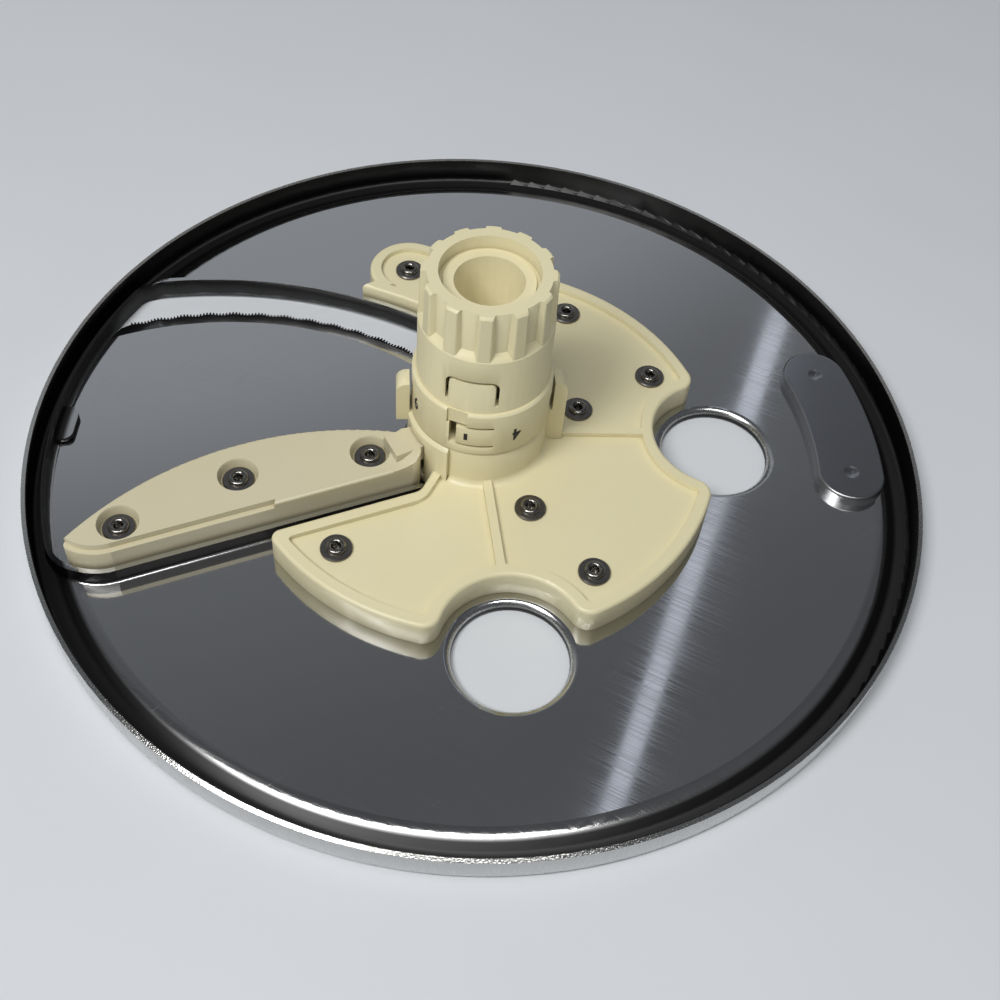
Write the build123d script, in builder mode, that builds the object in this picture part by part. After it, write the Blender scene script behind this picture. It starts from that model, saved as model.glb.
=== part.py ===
"""Adjustable slicing disc for a food processor, lying hub side up.

Millimetres, +Z up. The origin lies on the drive axis at the level that the disc's ring rests on.
A stamped steel disc carries a moulded hub. A steel blade with a serrated edge hangs in the disc's
bay under a moulded arm, and the numbered knob on the hub's stem lowers the pair by a helical groove.
"""
from math import acos, atan2, cos, degrees, hypot, pi, radians, sin, tan
import os

from build123d import *

os.makedirs("parts", exist_ok=True)

# Stamped disc
DISC_RADIUS = 95.0
RIM_HEIGHT = 7.0
SHEET = 1.0
PLATE_RISE = 1.5
SHOULDER_MARGIN = 7.4
GROOVE_MARGIN = 4.2
SHOULDER_BEND = 4.0
GROOVE_BEND = 2.0
RIM_BEND = 1.0
FLANGE_HEIGHT = 3.6
FOLD_BEND = 0.5
FINGER_HOLE_RADIUS = 11.6
FINGER_HOLE_PITCH_RADIUS = 52.4
FINGER_HOLE_ANGLES = (-79.5, 4.6)
FINGER_HOLE_ROLL = 1.5
FINGER_HOLE_LIP_CLEARANCE = 0.4

# Blade bay: the opening in the disc, drawn at its flange's inner face
BAY_MARGIN = 4.4
BAY_BACK_CENTRE = (-54.6, -53.6)
BAY_BACK_RADIUS = 96.6
BAY_FRONT_POINT = (-59.6, -36.4)
BAY_FRONT_ANGLE = 24.6
BAY_INNER_RADIUS = 15.2
BAY_SIDE_ANGLE = 110.0
BAY_FRONT_CORNER = 11.0
BAY_BACK_CORNER = 4.0
FLANGE_END_RADIUS = 17.8

# Slicing blade
BLADE_SHEET = 0.9
BLADE_DROP = 0.9
BLADE_GAP = 0.8
BLADE_HUB_GAP = 2.0
EDGE_CENTRE = (-52.2, -38.1)
EDGE_RADIUS = 75.3
EDGE_START_ANGLE = 40.0
EDGE_END_ANGLE = 122.0
EDGE_BEVEL = 3.6
EDGE_LAND = 0.2
SCALLOP_PITCH = 6.0
SCALLOP_DEPTH = 0.55
TOOTH_PITCH = 0.75
TOOTH_DEPTH = 0.32

# Hold-down tongue on the bay's outer flange
TONGUE_ANGLE = 181.6
TONGUE_WIDTH = 9.2
TONGUE_REACH = 3.5
TONGUE_CORNER = 2.2
TONGUE_CLEARANCE = 0.35

# Blade arm
ARM_TOP = 11.5
ARM_BACK_CENTRE = (-19.2, -74.0)
ARM_BACK_RADIUS = 69.2
ARM_GAP = 0.7
ARM_HUB_GAP = 0.4
ARM_CORNER = 1.2
ARM_HUB_CORNER = 2.5
ARM_EDGE = 0.5
ARM_LEDGE_DEPTH = 1.5
ARM_LEDGE_WIDTH = 1.1
ARM_LEDGE_END = -39.5
ARM_INNER_RIVETS = ((-22.1, -11.0), (-48.0, -19.7))
ARM_TIP_RIVET_MARGIN = 18.1
ARM_TIP_RIVET_ANGLE = -153.9
ARM_POCKET_RADIUS = 4.2
ARM_POCKET_DEPTH = 2.1
ARM_POCKET_SLOPE = 0.6
NOSE_ANGLE = -148.0
NOSE_WIDTH = 6.0
NOSE_TOP = 13.8
NOSE_BOTTOM = 9.6
NOSE_ROOT = 21.0
RAMP_HEAD = 17.4
RAMP_FOOT = 23.0
RAMP_ANGLES = (-159.0, -100.0)
NOSE_CLEARANCE = 0.4
FOLLOWER_RADIUS = 1.3
FOLLOWER_HEIGHT = 12.3

# Hub plate
HUB_RADIUS = 51.2
HUB_HEIGHT = 6.2
HUB_RIDGE = 2.6
HUB_RECESS = 1.2
HUB_CORNER = 3.6
HUB_EDGE = 0.8
HUB_NOTCH_MARGIN = 2.8
HUB_RIB = 1.8
HUB_BAY_POINT = (-10.9, -17.7)
HUB_BAY_ANGLE = 24.8
HUB_BAY_CORNER = 2.0
HUB_BAY_FLOOR_CORNER = 0.8
HUB_BAY_ROUND = 3.0
HUB_BAY_SIDE = -4.2
HUB_FLANGE_GAP = 0.3
EAR_ANGLE = 71.07
EAR_OFFSET = 11.9
EAR_RADIUS = 9.4
HUB_RIVET_RADIUS = 42.5
HUB_RIVET_ANGLES = (64.4, 28.1, -53.9, -128.2)
INNER_RIVET_RADIUS = 23.0
INNER_RIVET_ANGLES = (21.6, -59.0)

# Hub barrel, stem and guide fins
BARREL_TOP = 17.0
BARREL_RADIUS = 14.3
BARREL_WALL = 2.9
BARREL_FLOOR = 1.5
BARREL_COVE = 1.6
BARREL_COVE_ANGLES = (-112.0, 103.0)
BOSS_RADIUS = 15.3
BOSS_EDGE = 0.7
BOSS_START_ANGLE = 128.0
BOSS_END_ANGLE = 247.0
STEM_RADIUS = 9.0
STEM_TOP = 51.7
STEM_GROOVE_DEPTH = 0.7
DRIVE_BORE_RADIUS = 6.9
FIN_GAP = 0.45
FIN_DEPTH = 2.75
FIN_WIDTH = 4.4
FIN_TOP = 25.0
FIN_ROUND = 2.2
FIN_BOTTOM = 14.4
FIN_ANGLES = (6.5, 186.5)

# Adjusting knob
RUNNING_CLEARANCE = 0.08
KNOB_TOP = 54.3
KNOB_RADIUS = 13.6
KNOB_WALL = 2.1
KNOB_WEB = 3.0
KNOB_COUNTERBORE = 9.9
KNOB_COUNTERBORE_DEPTH = 3.2
KNOB_BEARING = 6.5
GRIP_BOTTOM = 42.9
GRIP_DEPTH = 1.5
GRIP_RIBS = 12
GRIP_RIB_TIP = 2.8
GRIP_RIB_ROOT = 4.2
GRIP_RIB_SET_BACK = 0.15
GRIP_RIB_ROUND = 0.65
GRIP_DRAFT = 1.3
GRIP_EDGE = 0.45
DIAL_RADIUS = 14.5
DIAL_GAP = 0.3
DIAL_TOP = 28.8
DIAL_EDGE = 0.45
DIAL_NOTCH_ANGLE = -108.0
DIAL_NOTCH_WIDTH = 4.3
SKIRT_WALL = 1.9
SKIRT_GAP = 0.7
GROOVE_DEPTH = 1.3
FOLLOWER_CLEARANCE = 0.3
BLADE_TRAVEL = 5.0
KNOB_TURN = 250.0
GROOVE_END_TURN = 12.0
SNAP_ANGLE = -98.0
SNAP_WIDTH = 10.0
SNAP_HEIGHT = 6.4
SNAP_BOTTOM = 30.8
SNAP_SLIT = 0.7
SNAP_CORNER = 1.6
SNAP_NIB_WIDTH = 4.0
SNAP_NIB_HEIGHT = 1.2
SNAP_NIB_CLEARANCE = 0.35
WINDOW_ANGLE = -95.1
WINDOW_WIDTH = 8.8
WINDOW_HEIGHT = 5.3
WINDOW_HEIGHT_CENTRE = 22.3
WINDOW_SLIT = 0.6
WINDOW_GAP = 1.2

# Rivets and washers, shared by hub and arm
RIVET_RADIUS = 1.5
RIVET_HEAD_RADIUS = 2.5
RIVET_HEAD_DEPTH = 0.7
RIVET_HOLE_RADIUS = 0.85
RIVET_HOLE_DEPTH = 2.4
RIVET_ROLL_RADIUS = 2.1
RIVET_ROLL_HEIGHT = 0.75
RIVET_FIT = 0.1
WASHER_RADIUS = 3.25
WASHER_THICKNESS = 0.7
WASHER_EDGE = 0.2
WASHER_SEAT = 0.3

# Balance weight
WEIGHT_MARGIN = 13.8
WEIGHT_ANGLES = (-0.8, 19.6)
WEIGHT_WIDTH = 14.6
WEIGHT_THICKNESS = 2.5
WEIGHT_EDGE = 0.6
WEIGHT_DIMPLE_RADIUS = 1.7
WEIGHT_DIMPLE_DEPTH = 0.35

# Levels and places that follow from the sizes above
shoulder_radius = DISC_RADIUS - SHOULDER_MARGIN
groove_radius = DISC_RADIUS - GROOVE_MARGIN
bay_radius = DISC_RADIUS - BAY_MARGIN
weight_path_radius = DISC_RADIUS - WEIGHT_MARGIN
plate_top = PLATE_RISE + SHEET
flange_top = plate_top + FLANGE_HEIGHT
blade_top = plate_top - BLADE_DROP
blade_bottom = blade_top - BLADE_SHEET
hub_top = plate_top + HUB_HEIGHT
hub_floor = hub_top - HUB_RECESS
arm_floor = ARM_TOP - ARM_POCKET_DEPTH
barrel_bore = BARREL_RADIUS - BARREL_WALL
barrel_floor = plate_top + BARREL_FLOOR
knob_bore = STEM_RADIUS + RUNNING_CLEARANCE
skirt_radius = knob_bore + SKIRT_WALL
skirt_bottom = barrel_floor + SKIRT_GAP
dial_bottom = BARREL_TOP + DIAL_GAP
sleeve_bore = KNOB_RADIUS - KNOB_WALL
groove_floor = skirt_radius - GROOVE_DEPTH
groove_pitch = BLADE_TRAVEL * 360.0 / KNOB_TURN
groove_turn = KNOB_TURN + 2.0 * GROOVE_END_TURN
front_direction = (cos(radians(BAY_FRONT_ANGLE)), sin(radians(BAY_FRONT_ANGLE)))
front_normal = (-front_direction[1], front_direction[0])
far = 3.0 * DISC_RADIUS


def polar(radius, angle):
    """Plan point at a radius and an angle in degrees."""
    return (radius * cos(radians(angle)), radius * sin(radians(angle)))


def front_point(along, across):
    """Plan point a distance along the bay's front edge and across it towards the back."""
    x = BAY_FRONT_POINT[0] + along * front_direction[0] + across * front_normal[0]
    y = BAY_FRONT_POINT[1] + along * front_direction[1] + across * front_normal[1]
    return (x, y)


def edge_point(angle):
    """Point of the serrated edge at an angle about the edge's own centre: scallops with fine teeth."""
    along = radians(angle) * EDGE_RADIUS
    scallop = 0.5 * SCALLOP_DEPTH * (1.0 - cos(2.0 * pi * along / SCALLOP_PITCH))
    tooth = TOOTH_DEPTH * abs(2.0 * ((along / TOOTH_PITCH) % 1.0) - 1.0)
    x, y = polar(EDGE_RADIUS - scallop - tooth, angle)
    return (EDGE_CENTRE[0] + x, EDGE_CENTRE[1] + y)


def upright_plane(angle, radius, height):
    """Plane that faces outward at a plan angle, with local x to the right seen from outside and y up."""
    x, y = polar(radius, angle)
    side = polar(1.0, angle + 90.0)
    return Plane(origin=(x, y, height), x_dir=(side[0], side[1], 0), z_dir=(*polar(1.0, angle), 0))


def section_plane(angle):
    """Upright plane through the drive axis, with local x outward at a plan angle and y up."""
    return Plane(origin=(0, 0, 0), x_dir=(*polar(1.0, angle), 0), z_dir=(*polar(1.0, angle - 90.0), 0))


def draw_rivet(bottom, seat):
    """Half section of a semi-tubular rivet: countersunk head, shank, rolled end on its seat, blind hole."""
    hole_bottom = seat + RIVET_ROLL_HEIGHT - RIVET_HOLE_DEPTH
    Polyline(
        (RIVET_HOLE_RADIUS, seat),
        (RIVET_HOLE_RADIUS, hole_bottom),
        (0.0, hole_bottom),
        (0.0, bottom),
        (RIVET_HEAD_RADIUS, bottom),
        (RIVET_RADIUS, bottom + RIVET_HEAD_DEPTH),
        (RIVET_RADIUS, seat),
        (RIVET_ROLL_RADIUS, seat),
    )
    crown = (0.5 * (RIVET_ROLL_RADIUS + RIVET_HOLE_RADIUS), seat + RIVET_ROLL_HEIGHT)
    ThreePointArc((RIVET_ROLL_RADIUS, seat), crown, (RIVET_HOLE_RADIUS, seat))


def cut_rivet_holes():
    """Countersunk holes up through a sheet from its under side, with the rivets' fit all round."""
    Cone(
        RIVET_HEAD_RADIUS + RIVET_FIT,
        RIVET_RADIUS + RIVET_FIT,
        RIVET_HEAD_DEPTH,
        align=(Align.CENTER, Align.CENTER, Align.MIN),
        mode=Mode.SUBTRACT,
    )
    Cylinder(RIVET_RADIUS + RIVET_FIT, 2.0 * SHEET, align=(Align.CENTER, Align.CENTER, Align.MIN), mode=Mode.SUBTRACT)


def draw_hub_plan(inset, bay_corner):
    """Plan of the hub plate, drawn in by an inset: round, with an ear, cleared for finger holes and bay."""
    web_angle = degrees(atan2(ear_centre[1], ear_centre[0]))
    web_angle -= degrees(acos((HUB_RADIUS - EAR_RADIUS) / hypot(*ear_centre)))
    ear_side = polar(EAR_RADIUS - inset, web_angle)
    ear_point = (ear_centre[0] + ear_side[0], ear_centre[1] + ear_side[1])
    slope = polar(1.0, HUB_BAY_ANGLE)
    bay_point = (HUB_BAY_POINT[0] + inset * slope[1], HUB_BAY_POINT[1] - inset * slope[0])
    bay_end = (bay_point[0] - far * slope[0], bay_point[1] - far * slope[1])
    side = HUB_BAY_SIDE + inset
    Circle(HUB_RADIUS - inset)
    with Locations(ear_centre):
        Circle(EAR_RADIUS - inset)
    Polygon((0, 0), ear_centre, ear_point, polar(HUB_RADIUS - inset, web_angle), align=None)
    with Locations(*finger_points):
        Circle(FINGER_HOLE_RADIUS + HUB_NOTCH_MARGIN + inset, mode=Mode.SUBTRACT)
    clear = Polygon(bay_point, bay_end, (-far, far), (side, far), (side, 0), align=None, mode=Mode.PRIVATE)
    back_reach = BAY_BACK_RADIUS + SHEET + FOLD_BEND + HUB_FLANGE_GAP
    back_circle = Circle(back_reach + inset, mode=Mode.PRIVATE)
    add(clear & (Pos(*BAY_BACK_CENTRE, 0) * back_circle), mode=Mode.SUBTRACT)
    corners = vertices().filter_by(lambda v: hypot(v.X, v.Y) > 0.8 * HUB_RADIUS)
    corners = corners.filter_by(lambda v: v.Y < EAR_RADIUS + FINGER_HOLE_RADIUS).sort_by(Axis.X)
    fillet(corners[1:], HUB_CORNER - inset)
    fillet(vertices().sort_by_distance(corners[0])[0], bay_corner)
    fillet(vertices().sort_by_distance((*bay_point, 0))[0], HUB_BAY_ROUND + inset)


ear_reach = polar(BAY_BACK_RADIUS + EAR_OFFSET, EAR_ANGLE)
ear_centre = (BAY_BACK_CENTRE[0] + ear_reach[0], BAY_BACK_CENTRE[1] + ear_reach[1])
finger_points = [polar(FINGER_HOLE_PITCH_RADIUS, angle) for angle in FINGER_HOLE_ANGLES]
hub_rivet_points = [polar(HUB_RIVET_RADIUS, angle) for angle in HUB_RIVET_ANGLES]
hub_rivet_points += [polar(INNER_RIVET_RADIUS, angle) for angle in INNER_RIVET_ANGLES]
hub_rivet_points += [ear_centre]
arm_rivet_points = [*ARM_INNER_RIVETS, polar(DISC_RADIUS - ARM_TIP_RIVET_MARGIN, ARM_TIP_RIVET_ANGLE)]

# Section of the stamped disc: under side outward, then the upper side back to the axis
under_side = [(0.0, PLATE_RISE), (shoulder_radius, PLATE_RISE), (groove_radius, 0.0), (DISC_RADIUS, 0.0)]
under_bends = [0.0, SHOULDER_BEND, GROOVE_BEND + SHEET, RIM_BEND + SHEET]
upper_side = [
    (DISC_RADIUS, RIM_HEIGHT),
    (DISC_RADIUS - SHEET, RIM_HEIGHT),
    (DISC_RADIUS - SHEET, SHEET),
    (groove_radius, SHEET),
    (shoulder_radius, plate_top),
    (0.0, plate_top),
]
upper_bends = [0.0, 0.0, RIM_BEND, GROOVE_BEND, SHOULDER_BEND + SHEET, 0.0]
flange_side = [
    (DISC_RADIUS, SHEET + FLANGE_HEIGHT),
    (groove_radius, SHEET + FLANGE_HEIGHT),
    (shoulder_radius, flange_top),
    (0.0, flange_top),
]
flange_bends = [0.0, GROOVE_BEND, SHOULDER_BEND + SHEET, 0.0]

# Plan of the blade bay
with BuildSketch() as bay:
    Circle(bay_radius)
    with Locations(BAY_BACK_CENTRE):
        Circle(BAY_BACK_RADIUS, mode=Mode.INTERSECT)
    with BuildLine():
        Polyline(front_point(-far, 0), front_point(far, 0), front_point(far, far), front_point(-far, far), close=True)
    make_face(mode=Mode.INTERSECT)
    with BuildLine():
        Polyline((0, 0), polar(far, BAY_SIDE_ANGLE), (-far, far), (-far, -far), (0, -far), close=True)
    make_face(mode=Mode.INTERSECT)
    Circle(BAY_INNER_RADIUS, mode=Mode.SUBTRACT)
    rim_corners = bay.vertices().filter_by(lambda v: hypot(v.X, v.Y) > 0.9 * bay_radius)
    fillet(rim_corners.sort_by(Axis.Y)[0], BAY_FRONT_CORNER)
    rim_corners = bay.vertices().filter_by(lambda v: hypot(v.X, v.Y) > 0.9 * bay_radius)
    fillet(rim_corners.sort_by(Axis.Y)[-1], BAY_BACK_CORNER)

# Flange drawn up round the bay, with the tongue that holds the blade down
with BuildPart() as flange:
    with BuildSketch():
        add(bay.sketch)
        offset(amount=SHEET, mode=Mode.REPLACE)
        add(bay.sketch, mode=Mode.SUBTRACT)
        Circle(FLANGE_END_RADIUS, mode=Mode.SUBTRACT)
    extrude(amount=flange_top)
    with BuildSketch(Plane.XZ):
        with BuildLine():
            FilletPolyline(*under_side, *flange_side, radius=[*under_bends, *flange_bends], close=True)
        make_face()
    revolve(axis=Axis.Z, mode=Mode.INTERSECT)
    with BuildSketch(Plane.XY.offset(blade_top + TONGUE_CLEARANCE)):
        with Locations(Location(polar(bay_radius + 0.3 * SHEET, TONGUE_ANGLE), TONGUE_ANGLE)):
            Rectangle(TONGUE_REACH + 0.3 * SHEET, TONGUE_WIDTH, align=(Align.MAX, Align.CENTER))
        fillet(vertices().sort_by(Axis.X)[-2:], TONGUE_CORNER)
    extrude(amount=SHEET)

with BuildPart() as disc_plate:
    with BuildSketch(Plane.XZ):
        with BuildLine():
            FilletPolyline(*under_side, *upper_side, radius=[*under_bends, *upper_bends], close=True)
        make_face()
    revolve(axis=Axis.Z)
    with BuildSketch(Plane.XY.offset(FINGER_HOLE_LIP_CLEARANCE)):
        with Locations(*finger_points):
            Circle(FINGER_HOLE_RADIUS + SHEET)
    extrude(amount=plate_top - FINGER_HOLE_LIP_CLEARANCE)
    with BuildSketch():
        with Locations(*finger_points):
            Circle(FINGER_HOLE_RADIUS)
        add(bay.sketch)
    extrude(amount=RIM_HEIGHT, mode=Mode.SUBTRACT)
    hole_edges = disc_plate.edges().filter_by(GeomType.CIRCLE)
    hole_edges = hole_edges.filter_by(lambda e: abs(e.radius - FINGER_HOLE_RADIUS) < 0.01)
    fillet(hole_edges.filter_by(lambda e: abs(e.center().Z - plate_top) < 0.01), FINGER_HOLE_ROLL)
    add(flange.part)
    fold_edges = disc_plate.edges().filter_by(GeomType.LINE)
    fold_edges = fold_edges.filter_by(lambda e: abs(e.center().Z - plate_top) < 0.01)
    fillet(fold_edges.sort_by(SortBy.LENGTH)[-1], FOLD_BEND)
    with Locations(*[(x, y, PLATE_RISE) for x, y in hub_rivet_points]):
        cut_rivet_holes()
disc_plate.part.label = "disc_plate"
export_step(disc_plate.part, "parts/disc_plate.step")

edge_steps = int(radians(EDGE_END_ANGLE - EDGE_START_ANGLE) * EDGE_RADIUS / TOOTH_PITCH) * 2
edge_turn = (EDGE_END_ANGLE - EDGE_START_ANGLE) / edge_steps
edge_line = [edge_point(EDGE_START_ANGLE + i * edge_turn) for i in range(edge_steps + 1)]

with BuildPart() as slicing_blade:
    with BuildSketch(Plane.XY.offset(blade_bottom)):
        add(bay.sketch)
        offset(amount=-BLADE_GAP, mode=Mode.REPLACE)
        with BuildLine():
            Polyline(*edge_line, (-far, 0), (-far, -far), (far, -far), (far, 0), close=True)
        make_face(mode=Mode.INTERSECT)
        Circle(BOSS_RADIUS + BLADE_HUB_GAP, mode=Mode.SUBTRACT)
    extrude(amount=BLADE_SHEET)
    with BuildSketch(Plane(origin=(*EDGE_CENTRE, 0), x_dir=(1, 0, 0), z_dir=(0, -1, 0))):
        with BuildLine():
            Polyline(
                (EDGE_RADIUS - EDGE_BEVEL, blade_top),
                (EDGE_RADIUS, blade_bottom + EDGE_LAND),
                (EDGE_RADIUS + SHEET, blade_bottom + EDGE_LAND),
                (EDGE_RADIUS + SHEET, blade_top),
                close=True,
            )
        make_face()
    revolve(axis=Axis((*EDGE_CENTRE, 0), (0, 0, 1)), mode=Mode.SUBTRACT)
    with Locations(*[(x, y, blade_bottom) for x, y in arm_rivet_points]):
        cut_rivet_holes()
slicing_blade.part.label = "slicing_blade"
export_step(slicing_blade.part, "parts/slicing_blade.step")

nose_direction = polar(1.0, NOSE_ANGLE)
nose_start = barrel_bore + NOSE_CLEARANCE

with BuildSketch() as ledge_back:
    add(bay.sketch)
    offset(amount=-ARM_GAP - ARM_LEDGE_WIDTH, mode=Mode.REPLACE)

with BuildSketch() as arm_plan:
    add(bay.sketch)
    offset(amount=-ARM_GAP, mode=Mode.REPLACE)
    with Locations(ARM_BACK_CENTRE):
        Circle(ARM_BACK_RADIUS, mode=Mode.INTERSECT)
    Circle(BOSS_RADIUS + ARM_HUB_GAP, mode=Mode.SUBTRACT)
    arm_ends = vertices().sort_by(Axis.X)
    fillet(arm_ends[0], ARM_CORNER)
    fillet(vertices().sort_by(Axis.X)[-1], ARM_HUB_CORNER)

# Ramp from the arm's top up to the nose's
with BuildPart() as arm_ramp:
    with BuildSketch(section_plane(RAMP_ANGLES[0])):
        with BuildLine():
            ramp_foot = (RAMP_FOOT, ARM_TOP)
            ramp_head = (RAMP_HEAD, NOSE_TOP)
            Polyline(
                ramp_head,
                (BOSS_RADIUS, NOSE_TOP),
                (BOSS_RADIUS, blade_top),
                (RAMP_FOOT, blade_top),
                ramp_foot,
            )
            TangentArc(ramp_foot, ramp_head, tangent=(-1, 0))
        make_face()
    revolve(axis=Axis.Z, revolution_arc=RAMP_ANGLES[1] - RAMP_ANGLES[0])
    with BuildSketch(Plane.XY.offset(blade_top)):
        add(arm_plan.sketch)
    extrude(amount=NOSE_TOP - blade_top, mode=Mode.INTERSECT)

with BuildPart() as blade_arm:
    with BuildSketch(Plane.XY.offset(blade_top)):
        add(arm_plan.sketch)
    extrude(amount=ARM_TOP - blade_top)
    back_edge = blade_arm.edges().filter_by(GeomType.CIRCLE)
    back_edge = back_edge.filter_by(lambda e: abs(e.radius - ARM_BACK_RADIUS) < 0.01)
    fillet(back_edge.filter_by(lambda e: abs(e.center().Z - ARM_TOP) < 0.01), ARM_EDGE)
    with BuildSketch(Plane.XY.offset(ARM_TOP)):
        add(bay.sketch)
        add(ledge_back.sketch, mode=Mode.SUBTRACT)
        with BuildLine():
            Polyline((ARM_LEDGE_END, -far), (ARM_LEDGE_END, 0), (-far, 0), (-far, -far), close=True)
        make_face(mode=Mode.INTERSECT)
    extrude(amount=-ARM_LEDGE_DEPTH, mode=Mode.SUBTRACT)
    add(arm_ramp.part)
    with Locations(*[(x, y, ARM_TOP) for x, y in arm_rivet_points]):
        Cylinder(
            ARM_POCKET_RADIUS,
            NOSE_TOP - ARM_TOP,
            align=(Align.CENTER, Align.CENTER, Align.MIN),
            mode=Mode.SUBTRACT,
        )
    with Locations(*[(x, y, arm_floor) for x, y in arm_rivet_points]):
        Cone(
            ARM_POCKET_RADIUS - ARM_POCKET_SLOPE,
            ARM_POCKET_RADIUS,
            ARM_POCKET_DEPTH,
            align=(Align.CENTER, Align.CENTER, Align.MIN),
            mode=Mode.SUBTRACT,
        )
        Hole(RIVET_RADIUS + RIVET_FIT, depth=ARM_TOP)
    with BuildSketch(upright_plane(NOSE_ANGLE, nose_start, 0.5 * (NOSE_TOP + NOSE_BOTTOM))):
        Rectangle(NOSE_WIDTH, NOSE_TOP - NOSE_BOTTOM)
    extrude(amount=NOSE_ROOT - nose_start)
    with BuildSketch(upright_plane(NOSE_ANGLE, groove_floor + FOLLOWER_CLEARANCE, FOLLOWER_HEIGHT)):
        Circle(FOLLOWER_RADIUS)
    extrude(amount=NOSE_ROOT - groove_floor - FOLLOWER_CLEARANCE)
blade_arm.part.label = "blade_arm"
export_step(blade_arm.part, "parts/blade_arm.step")

with BuildPart() as arm_rivet:
    with BuildSketch(Plane.XZ):
        with BuildLine():
            draw_rivet(blade_bottom, arm_floor + WASHER_THICKNESS)
        make_face()
    revolve(axis=Axis.Z)

with BuildPart() as arm_rivets:
    with Locations(*arm_rivet_points):
        add(arm_rivet.part)
arm_rivets.part.label = "arm_rivets"
export_step(arm_rivets.part, "parts/arm_rivets.step")

with BuildPart() as arm_rivet_washers:
    with BuildSketch(Plane.XY.offset(arm_floor)):
        with Locations(*arm_rivet_points):
            Circle(WASHER_RADIUS)
            Circle(RIVET_RADIUS + RIVET_FIT, mode=Mode.SUBTRACT)
    extrude(amount=WASHER_THICKNESS)
    top_edges = arm_rivet_washers.edges().filter_by(lambda e: abs(e.center().Z - arm_floor - WASHER_THICKNESS) < 0.01)
    chamfer(top_edges.filter_by(lambda e: abs(e.radius - WASHER_RADIUS) < 0.01), WASHER_EDGE)
arm_rivet_washers.part.label = "arm_rivet_washers"
export_step(arm_rivet_washers.part, "parts/arm_rivet_washers.step")

with BuildSketch() as hub_plan:
    draw_hub_plan(0.0, HUB_BAY_CORNER)

with BuildSketch() as hub_floor_plan:
    draw_hub_plan(HUB_RIDGE, HUB_BAY_FLOOR_CORNER)

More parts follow.
